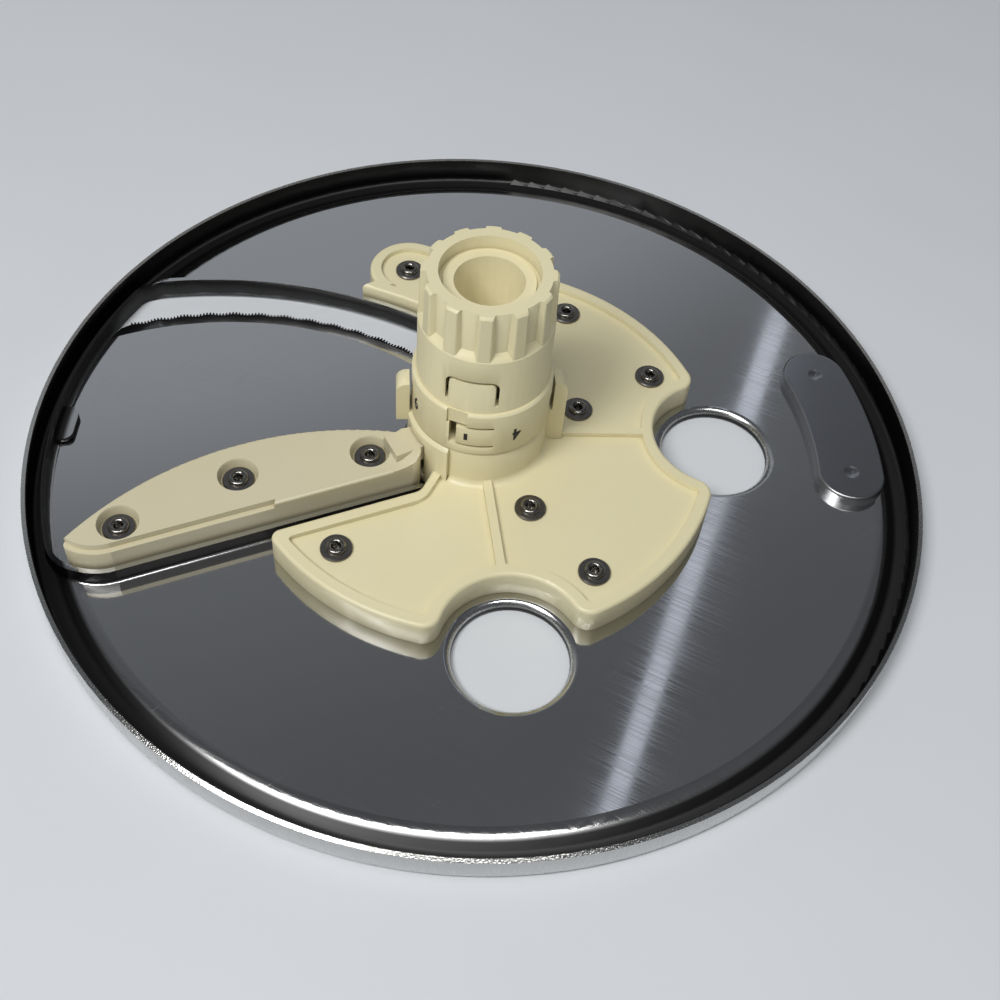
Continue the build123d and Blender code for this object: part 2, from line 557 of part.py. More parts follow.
with BuildPart() as hub:
    with BuildSketch(Plane.XY.offset(plate_top)):
        add(hub_plan.sketch)
    extrude(amount=HUB_HEIGHT)
    top_edges = hub.faces().sort_by(Axis.Z)[-1].edges()
    top_edges = top_edges.filter_by(lambda e: hypot(e.center().X, e.center().Y) > BOSS_RADIUS + BARREL_WALL)
    fillet(top_edges.filter_by(lambda e: e.center().Y < HUB_RADIUS - 1.2 * EAR_RADIUS), HUB_EDGE)
    with BuildSketch(Plane.XY.offset(hub_top)):
        add(hub_floor_plan.sketch)
        for angle in FINGER_HOLE_ANGLES:
            with Locations(Location((0, 0, 0), angle)):
                Rectangle(HUB_RADIUS, HUB_RIB, align=(Align.MIN, Align.CENTER), mode=Mode.SUBTRACT)
        with Locations(*hub_rivet_points):
            Circle(WASHER_RADIUS + WASHER_SEAT)
    extrude(amount=-HUB_RECESS, mode=Mode.SUBTRACT)
    with BuildSketch(Plane.XY.offset(plate_top)):
        Circle(BARREL_RADIUS)
    extrude(amount=BARREL_TOP - plate_top)
    with BuildSketch(section_plane(BARREL_COVE_ANGLES[0])):
        with BuildLine():
            cove_foot = (BARREL_RADIUS + BARREL_COVE, hub_floor)
            cove_head = (BARREL_RADIUS, hub_floor + BARREL_COVE)
            Polyline(
                cove_head,
                (barrel_bore, hub_floor + BARREL_COVE),
                (barrel_bore, plate_top),
                (BARREL_RADIUS + BARREL_COVE, plate_top),
                cove_foot,
            )
            TangentArc(cove_foot, cove_head, tangent=(-1, 0))
        make_face()
    revolve(axis=Axis.Z, revolution_arc=BARREL_COVE_ANGLES[1] - BARREL_COVE_ANGLES[0])
    with BuildSketch(Plane.XY.offset(plate_top)):
        with BuildLine():
            Line((0, 0), polar(BOSS_RADIUS, BOSS_START_ANGLE))
            CenterArc((0, 0), BOSS_RADIUS, BOSS_START_ANGLE, BOSS_END_ANGLE - BOSS_START_ANGLE)
            Line(polar(BOSS_RADIUS, BOSS_END_ANGLE), (0, 0))
        make_face()
    extrude(amount=BARREL_TOP - plate_top)
    boss_edges = hub.edges().filter_by(GeomType.CIRCLE)
    boss_edges = boss_edges.filter_by(lambda e: abs(e.radius - BOSS_RADIUS) < 0.01)
    chamfer(boss_edges.filter_by(lambda e: abs(e.center().Z - BARREL_TOP) < 0.01), BOSS_EDGE)
    for angle, bottom in zip(FIN_ANGLES, (hub_floor, FIN_BOTTOM)):
        with BuildSketch(section_plane(angle)):
            with BuildLine():
                fin_inner = DIAL_RADIUS + FIN_GAP
                fin_outer = fin_inner + FIN_DEPTH
                FilletPolyline(
                    (barrel_bore, bottom),
                    (fin_outer, bottom),
                    (fin_outer, FIN_TOP),
                    (fin_inner, FIN_TOP),
                    (fin_inner, BARREL_TOP),
                    (barrel_bore, BARREL_TOP),
                    radius=[0.0, 0.0, FIN_ROUND, 0.0, 0.0, 0.0],
                    close=True,
                )
            make_face()
        extrude(amount=0.5 * FIN_WIDTH, both=True)
    with BuildSketch(Plane.XY.offset(barrel_floor)):
        Circle(barrel_bore)
    extrude(amount=STEM_TOP, mode=Mode.SUBTRACT)
    with BuildSketch(Plane.XY.offset(barrel_floor)):
        Circle(STEM_RADIUS)
        Circle(DRIVE_BORE_RADIUS, mode=Mode.SUBTRACT)
    extrude(amount=STEM_TOP - barrel_floor)
    with BuildSketch(Plane.XY.offset(SNAP_BOTTOM + SNAP_HEIGHT - SNAP_NIB_HEIGHT - 2.0 * SNAP_NIB_CLEARANCE)):
        Circle(STEM_RADIUS)
        Circle(STEM_RADIUS - STEM_GROOVE_DEPTH, mode=Mode.SUBTRACT)
    extrude(amount=SNAP_NIB_HEIGHT + 2.0 * SNAP_NIB_CLEARANCE, mode=Mode.SUBTRACT)
    slot_bottom = NOSE_BOTTOM - BLADE_TRAVEL - NOSE_CLEARANCE
    slot_height = NOSE_TOP + NOSE_CLEARANCE - slot_bottom
    with BuildSketch(upright_plane(NOSE_ANGLE, STEM_RADIUS + 0.5 * SKIRT_WALL, slot_bottom)):
        Rectangle(NOSE_WIDTH + 2.0 * NOSE_CLEARANCE, slot_height, align=(Align.CENTER, Align.MIN))
    extrude(amount=BOSS_RADIUS, mode=Mode.SUBTRACT)
    with Locations(*[(x, y, hub_floor) for x, y in hub_rivet_points]):
        Hole(RIVET_RADIUS + RIVET_FIT, depth=2.0 * HUB_HEIGHT)
hub.part.label = "hub"
export_step(hub.part, "parts/hub.step")

with BuildPart() as hub_rivet:
    with BuildSketch(Plane.XZ):
        with BuildLine():
            draw_rivet(PLATE_RISE, hub_floor + WASHER_THICKNESS)
        make_face()
    revolve(axis=Axis.Z)

with BuildPart() as hub_rivets:
    with Locations(*hub_rivet_points):
        add(hub_rivet.part)
hub_rivets.part.label = "hub_rivets"
export_step(hub_rivets.part, "parts/hub_rivets.step")

with BuildPart() as hub_rivet_washers:
    with BuildSketch(Plane.XY.offset(hub_floor)):
        with Locations(*hub_rivet_points):
            Circle(WASHER_RADIUS)
            Circle(RIVET_RADIUS + RIVET_FIT, mode=Mode.SUBTRACT)
    extrude(amount=WASHER_THICKNESS)
    top_edges = hub_rivet_washers.edges().filter_by(lambda e: abs(e.center().Z - hub_floor - WASHER_THICKNESS) < 0.01)
    chamfer(top_edges.filter_by(lambda e: abs(e.radius - WASHER_RADIUS) < 0.01), WASHER_EDGE)
hub_rivet_washers.part.label = "hub_rivet_washers"
export_step(hub_rivet_washers.part, "parts/hub_rivet_washers.step")

bearing_top = KNOB_TOP - KNOB_COUNTERBORE_DEPTH
grip_core = KNOB_RADIUS - GRIP_DEPTH
rib_tip = KNOB_RADIUS - GRIP_RIB_SET_BACK
rib_edge = rib_tip - (KNOB_TOP - GRIP_BOTTOM) * tan(radians(GRIP_DRAFT)) - GRIP_EDGE
groove_start = NOSE_ANGLE - KNOB_TURN - GROOVE_END_TURN
groove_start_height = FOLLOWER_HEIGHT - (KNOB_TURN + GROOVE_END_TURN) * groove_pitch / 360.0
groove_height = groove_turn * groove_pitch / 360.0
groove_helix = Helix(groove_pitch, groove_height, groove_floor + 0.5 * GROOVE_DEPTH)
groove_path = Pos(0, 0, groove_start_height) * Rot(0, 0, groove_start) * groove_helix

with BuildPart() as adjusting_knob:
    with BuildSketch(Plane.XZ):
        with BuildLine():
            Polyline(
                (knob_bore, skirt_bottom),
                (skirt_radius, skirt_bottom),
                (skirt_radius, dial_bottom),
                (DIAL_RADIUS, dial_bottom),
                (DIAL_RADIUS, DIAL_TOP - DIAL_EDGE),
                (DIAL_RADIUS - DIAL_EDGE, DIAL_TOP),
                (KNOB_RADIUS, DIAL_TOP),
                (KNOB_RADIUS, GRIP_BOTTOM),
                (grip_core, GRIP_BOTTOM + GRIP_DEPTH),
                (grip_core, KNOB_TOP),
                (KNOB_COUNTERBORE, KNOB_TOP),
                (KNOB_COUNTERBORE, bearing_top),
                (knob_bore, bearing_top),
                (knob_bore, bearing_top - KNOB_BEARING),
                (sleeve_bore, bearing_top - KNOB_BEARING),
                (sleeve_bore, dial_bottom + KNOB_WEB),
                (knob_bore, dial_bottom + KNOB_WEB),
                close=True,
            )
        make_face()
    revolve(axis=Axis.Z)
    with BuildSketch(Plane.XY.offset(GRIP_BOTTOM)):
        with PolarLocations(0, GRIP_RIBS):
            Polygon(
                (KNOB_COUNTERBORE + GRIP_DEPTH, -0.5 * GRIP_RIB_ROOT),
                (rib_tip, -0.5 * GRIP_RIB_TIP),
                (rib_tip, 0.5 * GRIP_RIB_TIP),
                (KNOB_COUNTERBORE + GRIP_DEPTH, 0.5 * GRIP_RIB_ROOT),
                align=None,
            )
        fillet(vertices().filter_by(lambda v: hypot(v.X, v.Y) > grip_core), GRIP_RIB_ROUND)
    extrude(amount=KNOB_TOP - GRIP_BOTTOM, taper=GRIP_DRAFT)
    with BuildSketch(Plane.XZ):
        with BuildLine():
            Polyline(
                (rib_edge, KNOB_TOP),
                (rib_edge, KNOB_TOP + GRIP_EDGE),
                (rib_edge + GRIP_DEPTH, KNOB_TOP + GRIP_EDGE),
                (rib_edge + GRIP_DEPTH, KNOB_TOP - GRIP_DEPTH),
                close=True,
            )
        make_face()
    revolve(axis=Axis.Z, mode=Mode.SUBTRACT)
    with BuildSketch(Plane(origin=groove_path @ 0, x_dir=(*polar(1.0, groove_start), 0), z_dir=groove_path % 0)):
        Rectangle(GROOVE_DEPTH + 0.6, 2.0 * (FOLLOWER_RADIUS + FOLLOWER_CLEARANCE))
    sweep(path=groove_path, is_frenet=True, mode=Mode.SUBTRACT)
    with BuildSketch(upright_plane(SNAP_ANGLE, STEM_RADIUS, SNAP_BOTTOM)):
        with BuildLine():
            left = -0.5 * SNAP_WIDTH
            right = 0.5 * SNAP_WIDTH
            FilletPolyline((left, 0), (left, SNAP_HEIGHT), (right, SNAP_HEIGHT), (right, 0), radius=SNAP_CORNER)
        trace(line_width=SNAP_SLIT)
    extrude(amount=KNOB_RADIUS, mode=Mode.SUBTRACT)
    nib_height = SNAP_BOTTOM + SNAP_HEIGHT - SNAP_NIB_HEIGHT - SNAP_NIB_CLEARANCE
    with BuildSketch(upright_plane(SNAP_ANGLE, STEM_RADIUS - 0.5 * STEM_GROOVE_DEPTH, nib_height)):
        Rectangle(SNAP_NIB_WIDTH, SNAP_NIB_HEIGHT, align=(Align.CENTER, Align.MIN))
    extrude(amount=KNOB_RADIUS - STEM_RADIUS - 0.5 * KNOB_WALL)
    with BuildSketch(upright_plane(WINDOW_ANGLE, STEM_RADIUS, WINDOW_HEIGHT_CENTRE)):
        with BuildLine():
            left = -0.5 * WINDOW_WIDTH
            right = 0.5 * WINDOW_WIDTH
            half = 0.5 * WINDOW_HEIGHT
            Polyline((right, half), (left, half), (left, -half), (right, -half))
        trace(line_width=WINDOW_SLIT)
        with Locations((left, 0)):
            Rectangle(WINDOW_GAP, WINDOW_HEIGHT, align=(Align.MIN, Align.CENTER))
    extrude(amount=DIAL_RADIUS, mode=Mode.SUBTRACT)
    with BuildSketch(upright_plane(DIAL_NOTCH_ANGLE, 0.7 * KNOB_RADIUS + 0.3 * DIAL_RADIUS, DIAL_TOP)):
        notch_depth = DIAL_TOP - WINDOW_HEIGHT_CENTRE - 0.5 * WINDOW_HEIGHT
        Rectangle(DIAL_NOTCH_WIDTH, notch_depth, align=(Align.CENTER, Align.MAX))
    extrude(amount=DIAL_RADIUS, mode=Mode.SUBTRACT)
adjusting_knob.part.label = "adjusting_knob"
export_step(adjusting_knob.part, "parts/adjusting_knob.step")

dimple_sphere = 0.5 * (WEIGHT_DIMPLE_RADIUS ** 2 + WEIGHT_DIMPLE_DEPTH ** 2) / WEIGHT_DIMPLE_DEPTH
weight_top = plate_top + WEIGHT_THICKNESS
dimple_height = weight_top + dimple_sphere - WEIGHT_DIMPLE_DEPTH

with BuildPart() as balance_weight:
    with BuildSketch(Plane.XY.offset(plate_top)):
        with BuildLine(mode=Mode.PRIVATE) as weight_path:
            CenterArc((0, 0), weight_path_radius, WEIGHT_ANGLES[0], WEIGHT_ANGLES[1] - WEIGHT_ANGLES[0])
        SlotArc(weight_path.edge(), WEIGHT_WIDTH)
    extrude(amount=WEIGHT_THICKNESS)
    fillet(balance_weight.faces().sort_by(Axis.Z)[-1].edges(), WEIGHT_EDGE)
    with Locations(*[(*polar(weight_path_radius, angle), dimple_height) for angle in WEIGHT_ANGLES]):
        Sphere(dimple_sphere, mode=Mode.SUBTRACT)
balance_weight.part.label = "balance_weight"
export_step(balance_weight.part, "parts/balance_weight.step")
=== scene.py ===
"""Dresses an adjustable slicing disc for a food processor in steel and cream plastic, on a pale table."""
import logging
import math
from dataclasses import dataclass
from enum import Enum
from typing import Any

import bmesh
import bpy
from mathutils import Matrix, Vector


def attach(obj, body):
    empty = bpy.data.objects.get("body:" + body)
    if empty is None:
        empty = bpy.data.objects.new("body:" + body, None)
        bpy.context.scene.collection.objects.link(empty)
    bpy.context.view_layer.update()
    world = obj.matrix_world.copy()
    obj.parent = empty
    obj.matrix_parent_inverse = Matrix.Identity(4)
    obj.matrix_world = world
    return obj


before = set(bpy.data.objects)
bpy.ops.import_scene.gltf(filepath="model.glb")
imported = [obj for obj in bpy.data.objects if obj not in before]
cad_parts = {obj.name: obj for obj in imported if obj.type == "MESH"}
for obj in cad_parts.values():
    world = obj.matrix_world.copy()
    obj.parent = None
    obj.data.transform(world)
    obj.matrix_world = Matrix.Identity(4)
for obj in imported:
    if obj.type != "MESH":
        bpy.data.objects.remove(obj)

Material = bpy.types.Material
Socket = bpy.types.NodeSocket
Tree = bpy.types.NodeTree
Colour = tuple[float, float, float, float]
Pair = tuple[float, float]
Triple = tuple[float, float, float]

MM = 0.001
IMAGE_PIXELS = 1000.0
SENSOR_MM = 36.0
WELD_MM = 0.002
SHARP_EDGE_DEG = 40.0
ROUNDING_STEPS = 2
WHOLE_RANGE = (0.0, 1.0)
# Both lie beyond every piece, so a sheet that is given them has no painted shade in a groove and no sheared
# edge.
NO_GROOVE_MM = (1000.0, 1001.0)
NO_RAW_EDGE_MM = 60.0

log = logging.getLogger("slicing_disc")
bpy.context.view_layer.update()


class Body(Enum):
    """Bodies of the CAD frame that carry pieces of the scene."""

    KNOB = "knob"
    CARRIAGE = "carriage"


def linear(hex_colour: str) -> Colour:
    """Turns an sRGB hex colour to linear light.

    Args:
        hex_colour: colour such as "#E6DDB2".

    Returns:
        Linear red, green and blue with an alpha of 1.
    """
    channels = [int(hex_colour[i:i + 2], 16) / 255.0 for i in (1, 3, 5)]
    values = [c / 12.92 if c <= 0.04045 else ((c + 0.055) / 1.055) ** 2.4 for c in channels]
    return (values[0], values[1], values[2], 1.0)


def around(middle: float, spread: float) -> Pair:
    """Gives the range that reaches as far below a value as above it."""
    return (middle - spread, middle + spread)


def add_node(tree: Tree, kind: str, values: dict[Any, Any] | None = None) -> bpy.types.Node:
    """Adds a node and fills it in.

    Args:
        tree: node tree that gets the node.
        kind: Blender's name for the node type.
        values: what goes in, by input name or number, or by attribute name. A socket is linked.

    Returns:
        The new node.
    """
    node = tree.nodes.new(kind)
    for key, value in (values or {}).items():
        if isinstance(value, Socket):
            tree.links.new(value, node.inputs[key])
        elif isinstance(key, int) or key in node.inputs:
            node.inputs[key].default_value = value
        else:
            setattr(node, key, value)
    return node


def calculate(tree: Tree, operation: str, *terms: Socket | float) -> Socket:
    """Calculates with sockets and numbers.

    Args:
        tree: node tree that gets the node.
        operation: Blender's name for the operation.
        terms: what goes in, in the order of the node's inputs.

    Returns:
        Socket with the result.
    """
    return add_node(tree, "ShaderNodeMath", {"operation": operation, **dict(enumerate(terms))}).outputs[0]


def remap(
    tree: Tree, value: Socket, target: Pair, source: Pair = WHOLE_RANGE, easing: str = "LINEAR"
) -> Socket:
    """Carries a value from one range to another and holds it at the ends.

    Args:
        tree: node tree that gets the node.
        value: the value.
        target: what the ends of the source range become.
        source: the range that the value comes from.
        easing: Blender's name for the way between the ends.

    Returns:
        Socket with the new value.
    """
    remapped = add_node(tree, "ShaderNodeMapRange", {
        "interpolation_type": easing, "Value": value,
        "From Min": source[0], "From Max": source[1], "To Min": target[0], "To Max": target[1]})
    return remapped.outputs["Result"]


def mix_values(tree: Tree, share: Socket, first: Socket, second: Socket | float) -> Socket:
    """Goes from one value to another.

    Args:
        tree: node tree that gets the node.
        share: share of the second value.
        first: value at a share of 0.
        second: value at a share of 1.

    Returns:
        Socket with the mixed value.
    """
    return add_node(tree, "ShaderNodeMix", {"data_type": "FLOAT", 0: share, 2: first, 3: second}).outputs[0]


def mix_colours(tree: Tree, share: Socket, first: Socket | Colour, second: Socket | Colour) -> Socket:
    """Goes from one colour to another.

    Args:
        tree: node tree that gets the node.
        share: share of the second colour.
        first: colour at a share of 0.
        second: colour at a share of 1.

    Returns:
        Socket with the mixed colour.
    """
    return add_node(tree, "ShaderNodeMix", {"data_type": "RGBA", 0: share, 6: first, 7: second}).outputs[2]


def add_noise(tree: Tree, size_mm: float, detail: float, distortion: float = 0.0) -> Socket:
    """Adds soft noise that keeps its place on the piece.

    Args:
        tree: node tree that gets the nodes.
        size_mm: size of one patch.
        detail: how many finer layers it has.
        distortion: how far the patches are drawn out of shape.

    Returns:
        Socket with the noise's strength.
    """
    place = add_node(tree, "ShaderNodeTexCoord")
    noise = add_node(tree, "ShaderNodeTexNoise", {
        "Scale": 1.0 / (size_mm * MM), "Detail": detail, "Distortion": distortion,
        "Vector": place.outputs["Object"]})
    return noise.outputs["Fac"]


def new_material(name: str) -> tuple[Material, Tree, Socket]:
    """Makes an empty material.

    Args:
        name: the material's name.

    Returns:
        The material, its node tree and the surface socket of its output.
    """
    material = bpy.data.materials.new(name)
    material.use_nodes = True
    material.node_tree.nodes.clear()
    output = add_node(material.node_tree, "ShaderNodeOutputMaterial")
    return material, material.node_tree, output.inputs["Surface"]


@dataclass(frozen=True)
class RolledSteel:
    """Cold rolled stainless sheet.

    Rolling leaves a bright skin with a faint straight grain, so highlights stretch across the grain. Hands
    leave dull smears and use leaves fine scratches. Bends are stretched and so a little matt, sheared edges are
    raw and sparkle, and the groove and upright walls are painted near black with a rough skin: painted shade.
    """

    name: str
    colour: str = "#C6C6C5"
    raw_edge_colour: str = "#CBCAC6"
    # painted shade: near black colour laid in the groove and on the upright walls, where the sheet reflects the
    # dark room
    painted_shade_colour: str = "#282727"
    roughness: float = 0.075
    anisotropy: float = 0.6
    grain_angle_deg: float = -24.0
    grain_width_mm: float = 0.3
    grain_length_mm: float = 40.0
    grain_range: Pair = (0.3, 0.7)
    grain_spread: float = 0.035
    smear_mm: float = 34.0
    smear_distortion: float = 0.6
    smear_range: Pair = (0.45, 0.75)
    smear_spread: float = 0.04
    scratch_turn_deg: float = 63.0
    scratch_width_mm: float = 0.25
    scratch_length_mm: float = 16.0
    scratch_share: float = 0.7
    scratch_fade: float = 0.05
    scratch_roughness: float = 0.12
    bend_facing: Pair = (0.98, 0.85)
    bend_roughness: float = 0.18
    raw_edge_level_mm: float = 6.5
    raw_edge_facing: float = 0.8
    raw_grain_mm: float = 0.35
    raw_roughness: Pair = (0.06, 0.42)
    burr_height_mm: float = 0.05
    burr_lean: float = 0.5
    groove_mm: Pair = NO_GROOVE_MM
    wall_reach_mm: float = 0.0
    wall_facing: Pair = (0.5, 0.2)
    # painted shade: how strongly the groove and walls are darkened, how far the darkening fades in, and how
    # rough they are there
    painted_shade_share: float = 0.96
    painted_shade_fade_mm: float = 1.2
    painted_shade_roughness: float = 0.45

    def facing_up(self, tree: Tree) -> Socket:
        """Tells how far the sheet faces up.

        Args:
            tree: the material's node tree.

        Returns:
            Socket that is 1 on the flat, 0 on an upright wall and -1 below.
        """
        place = add_node(tree, "ShaderNodeTexCoord")
        facing = add_node(tree, "ShaderNodeSeparateXYZ", {"Vector": place.outputs["Normal"]})
        return facing.outputs["Z"]

    def from_axis(self, tree: Tree) -> Socket:
        """Gives the way from the drive axis.

        Args:
            tree: the material's node tree.

        Returns:
            Socket with the level vector from the axis.
        """
        place = add_node(tree, "ShaderNodeTexCoord")
        level = add_node(tree, "ShaderNodeVectorMath", {
            "operation": "MULTIPLY", 0: place.outputs["Object"], 1: (1.0, 1.0, 0.0)})
        return level.outputs["Vector"]

    def streaks(self, tree: Tree, angle_deg: float, length_mm: float, width_mm: float) -> Socket:
        """Draws noise out along one direction of the sheet.

        Args:
            tree: the material's node tree.
            angle_deg: direction of the streaks.
            length_mm: their length.
            width_mm: their width, coarser than the real grain so that it shows.

        Returns:
            Socket with the streaks' strength.
        """
        place = add_node(tree, "ShaderNodeTexCoord")
        turned = add_node(tree, "ShaderNodeMapping", {
            "vector_type": "TEXTURE", "Rotation": (0.0, 0.0, math.radians(angle_deg)),
            "Vector": place.outputs["Object"]})
        along = 1.0 / (length_mm * MM)
        across = 1.0 / (width_mm * MM)
        drawn = add_node(tree, "ShaderNodeMapping", {
            "Scale": (along, across, along), "Vector": turned.outputs["Vector"]})
        noise = add_node(tree, "ShaderNodeTexNoise", {
            "Scale": 1.0, "Detail": 2.0, "Vector": drawn.outputs["Vector"]})
        return noise.outputs["Fac"]

    def raw_edges(self, tree: Tree) -> Socket:
        """Finds the sheared edges: what faces up above the level of the sheet.

        Args:
            tree: the material's node tree.

        Returns:
            Socket that is 1 on a sheared edge and 0 elsewhere.
        """
        place = add_node(tree, "ShaderNodeTexCoord")
        level = add_node(tree, "ShaderNodeSeparateXYZ", {"Vector": place.outputs["Object"]})
        high = calculate(tree, "GREATER_THAN", level.outputs["Z"], self.raw_edge_level_mm * MM)
        upward = calculate(tree, "GREATER_THAN", self.facing_up(tree), self.raw_edge_facing)
        return calculate(tree, "MULTIPLY", high, upward)

    def rolled_over(self, tree: Tree, raw: Socket) -> Socket:
        """Leans the sheared edges outwards, because their burr is rolled over that way.

        Args:
            tree: the material's node tree.
            raw: socket that is 1 on a sheared edge.

        Returns:
            Socket with the leaning normal.
        """
        outward = add_node(tree, "ShaderNodeVectorMath", {"operation": "NORMALIZE", 0: self.from_axis(tree)})
        share = add_node(tree, "ShaderNodeVectorMath", {
            "operation": "SCALE", 0: outward.outputs["Vector"],
            "Scale": calculate(tree, "MULTIPLY", raw, self.burr_lean)})
        upright = add_node(tree, "ShaderNodeNewGeometry")
        leaning = add_node(tree, "ShaderNodeVectorMath", {
            "operation": "ADD", 0: upright.outputs["Normal"], 1: share.outputs["Vector"]})
        unit = add_node(tree, "ShaderNodeVectorMath", {"operation": "NORMALIZE", 0: leaning.outputs["Vector"]})
        return unit.outputs["Vector"]

    def painted_shade(self, tree: Tree) -> Socket:
        """Finds where shade is painted: in the groove and on the upright walls inside it.

        Args:
            tree: the material's node tree.

        Returns:
            Socket with the share of painted shade.
        """
        measured = add_node(tree, "ShaderNodeVectorMath", {"operation": "LENGTH", 0: self.from_axis(tree)})
        radius = measured.outputs["Value"]
        inner, outer = self.groove_mm
        covered = (0.0, self.painted_shade_share)
        past = remap(tree, radius, covered, (inner * MM, (inner + self.painted_shade_fade_mm) * MM), "SMOOTHSTEP")
        groove = calculate(tree, "MULTIPLY", past, calculate(tree, "LESS_THAN", radius, outer * MM))
        steep = calculate(tree, "ABSOLUTE", self.facing_up(tree))
        upright = remap(tree, steep, covered, self.wall_facing)
        within = calculate(tree, "LESS_THAN", radius, self.wall_reach_mm * MM)
        return calculate(tree, "MAXIMUM", groove, calculate(tree, "MULTIPLY", upright, within))

    def skin(self, tree: Tree) -> Socket:
        """Sums up what rolling, hands, use and bending do to the sheet's roughness.

        Args:
            tree: the material's node tree.

        Returns:
            Socket with the roughness.
        """
        grain = self.streaks(tree, self.grain_angle_deg, self.grain_length_mm, self.grain_width_mm)
        rolled = remap(tree, grain, around(self.roughness, self.grain_spread), self.grain_range)
        smears = add_noise(tree, self.smear_mm, 3.0, self.smear_distortion)
        smeared = remap(tree, smears, (0.0, self.smear_spread), self.smear_range)
        scratches = self.streaks(
            tree, self.grain_angle_deg + self.scratch_turn_deg, self.scratch_length_mm, self.scratch_width_mm)
        scratched = remap(
            tree, scratches, (0.0, self.scratch_roughness),
            (self.scratch_share, self.scratch_share + self.scratch_fade))
        used = calculate(tree, "ADD", calculate(tree, "ADD", rolled, smeared), scratched)
        bent = remap(tree, self.facing_up(tree), WHOLE_RANGE, self.bend_facing)
        return calculate(tree, "MULTIPLY_ADD", bent, self.bend_roughness, used)

    def make(self) -> Material:
        """Makes the sheet's material.

        Returns:
            The new material.
        """
        material, tree, surface = new_material(self.name)
        raw = self.raw_edges(tree)
        # painted shade: the groove and the upright walls inside it are darkened towards a near black
        painted_shade = self.painted_shade(tree)
        burr = add_noise(tree, self.raw_grain_mm, 1.0)
        sparkle = remap(tree, burr, self.raw_roughness)
        rough = mix_values(tree, raw, self.skin(tree), sparkle)
        tint = mix_colours(tree, raw, linear(self.colour), linear(self.raw_edge_colour))
        bump = add_node(tree, "ShaderNodeBump", {
            "Distance": self.burr_height_mm * MM, "Height": burr, "Strength": raw,
            "Normal": self.rolled_over(tree, raw)})
        angle = math.radians(self.grain_angle_deg)
        across = add_node(tree, "ShaderNodeCombineXYZ", {"X": -math.sin(angle), "Y": math.cos(angle), "Z": 0.0})
        steel = add_node(tree, "ShaderNodeBsdfPrincipled", {
            "Metallic": 1.0, "Anisotropic": self.anisotropy,
            "Base Color": mix_colours(tree, painted_shade, tint, linear(self.painted_shade_colour)),
            "Roughness": mix_values(tree, painted_shade, rough, self.painted_shade_roughness),
            "Normal": bump.outputs["Normal"], "Tangent": across.outputs["Vector"]})
        tree.links.new(steel.outputs["BSDF"], surface)
        return material


@dataclass(frozen=True)
class SmallSteel:
    """Small rolled, stamped or ground steel piece: dull in spots where handling and water have marked it."""

    name: str
    colour: str
    spot_colour: str
    roughness: float
    roughness_spread: float = 0.08
    spot_mm: float = 0.9

    def make(self) -> Material:
        """Makes the piece's material.

        Returns:
            The new material.
        """
        material, tree, surface = new_material(self.name)
        spots = add_noise(tree, self.spot_mm, 2.0)
        steel = add_node(tree, "ShaderNodeBsdfPrincipled", {
            "Metallic": 1.0,
            "Base Color": mix_colours(tree, spots, linear(self.colour), linear(self.spot_colour)),
            "Roughness": remap(tree, spots, around(self.roughness, self.roughness_spread))})
        tree.links.new(steel.outputs["BSDF"], surface)
        return material


@dataclass(frozen=True)
class MouldedAbs:
    """Injection moulded ABS in cream.

    The mould gives a satin skin with a faint unevenness. Age yellows it in patches, and its corners and
    recesses
    are darkened towards a brown grey: painted shade found by ambient occlusion.
    """

    name: str = "moulded_cream_abs"
    colour: str = "#E6DEB9"
    aged_colour: str = "#E0D6AC"
    # painted shade: the colour that corners and recesses are darkened towards
    corner_shade_colour: str = "#8F8259"
    roughness: float = 0.38
    gloss_spread: float = 0.06
    patch_mm: float = 14.0
    skin_mm: float = 0.7
    skin_height_mm: float = 0.006
    corner_mm: float = 1.3
    corner_range: Pair = (0.25, 0.75)
    corner_samples: int = 6
    corner_shade_share: float = 0.4
    ior: float = 1.53

    def make(self) -> Material:
        """Makes the plastic's material.

        Returns:
            The new material.
        """
        material, tree, surface = new_material(self.name)
        patches = add_noise(tree, self.patch_mm, 3.0)
        skin = add_noise(tree, self.skin_mm, 2.0)
        aged = mix_colours(tree, patches, linear(self.colour), linear(self.aged_colour))
        # painted shade: ambient occlusion finds the corners and recesses, and their colour is mixed towards a
        # brown grey
        open_air = add_node(tree, "ShaderNodeAmbientOcclusion", {
            "Distance": self.corner_mm * MM, "samples": self.corner_samples})
        corner = remap(tree, open_air.outputs["AO"], (self.corner_shade_share, 0.0), self.corner_range)
        bump = add_node(tree, "ShaderNodeBump", {
            "Distance": self.skin_height_mm * MM, "Strength": 1.0, "Height": skin})
        plastic = add_node(tree, "ShaderNodeBsdfPrincipled", {
            "IOR": self.ior, "Base Color": mix_colours(tree, corner, aged, linear(self.corner_shade_colour)),
            "Roughness": remap(tree, skin, around(self.roughness, self.gloss_spread)),
            "Normal": bump.outputs["Normal"]})
        tree.links.new(plastic.outputs["BSDF"], surface)
        return material


@dataclass(frozen=True)
class MattSkin:
    """Matt surface in two shades that run into each other: pigment foil or laminate."""

    name: str
    colour: str
    second_colour: str
    patch_mm: float
    detail: float
    roughness: float = 0.6

    def make(self) -> Material:
        """Makes the surface's material.

        Returns:
            The new material.
        """
        material, tree, surface = new_material(self.name)
        patches = add_noise(tree, self.patch_mm, self.detail)
        matt = add_node(tree, "ShaderNodeBsdfPrincipled", {
            "Roughness": self.roughness,
            "Base Color": mix_colours(tree, patches, linear(self.colour), linear(self.second_colour))})
        tree.links.new(matt.outputs["BSDF"], surface)
        return material


def dress(node: str, material: Material) -> bpy.types.Object:
    """Gives a CAD node its material.

    Args:
        node: the node's name.
        material: what it is made of.

    Returns:
        The node's object.
    """
    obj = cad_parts[node]
    obj.data.materials.clear()
    obj.data.materials.append(material)
    log.info("dressed %s in %s", node, material.name)
    return obj


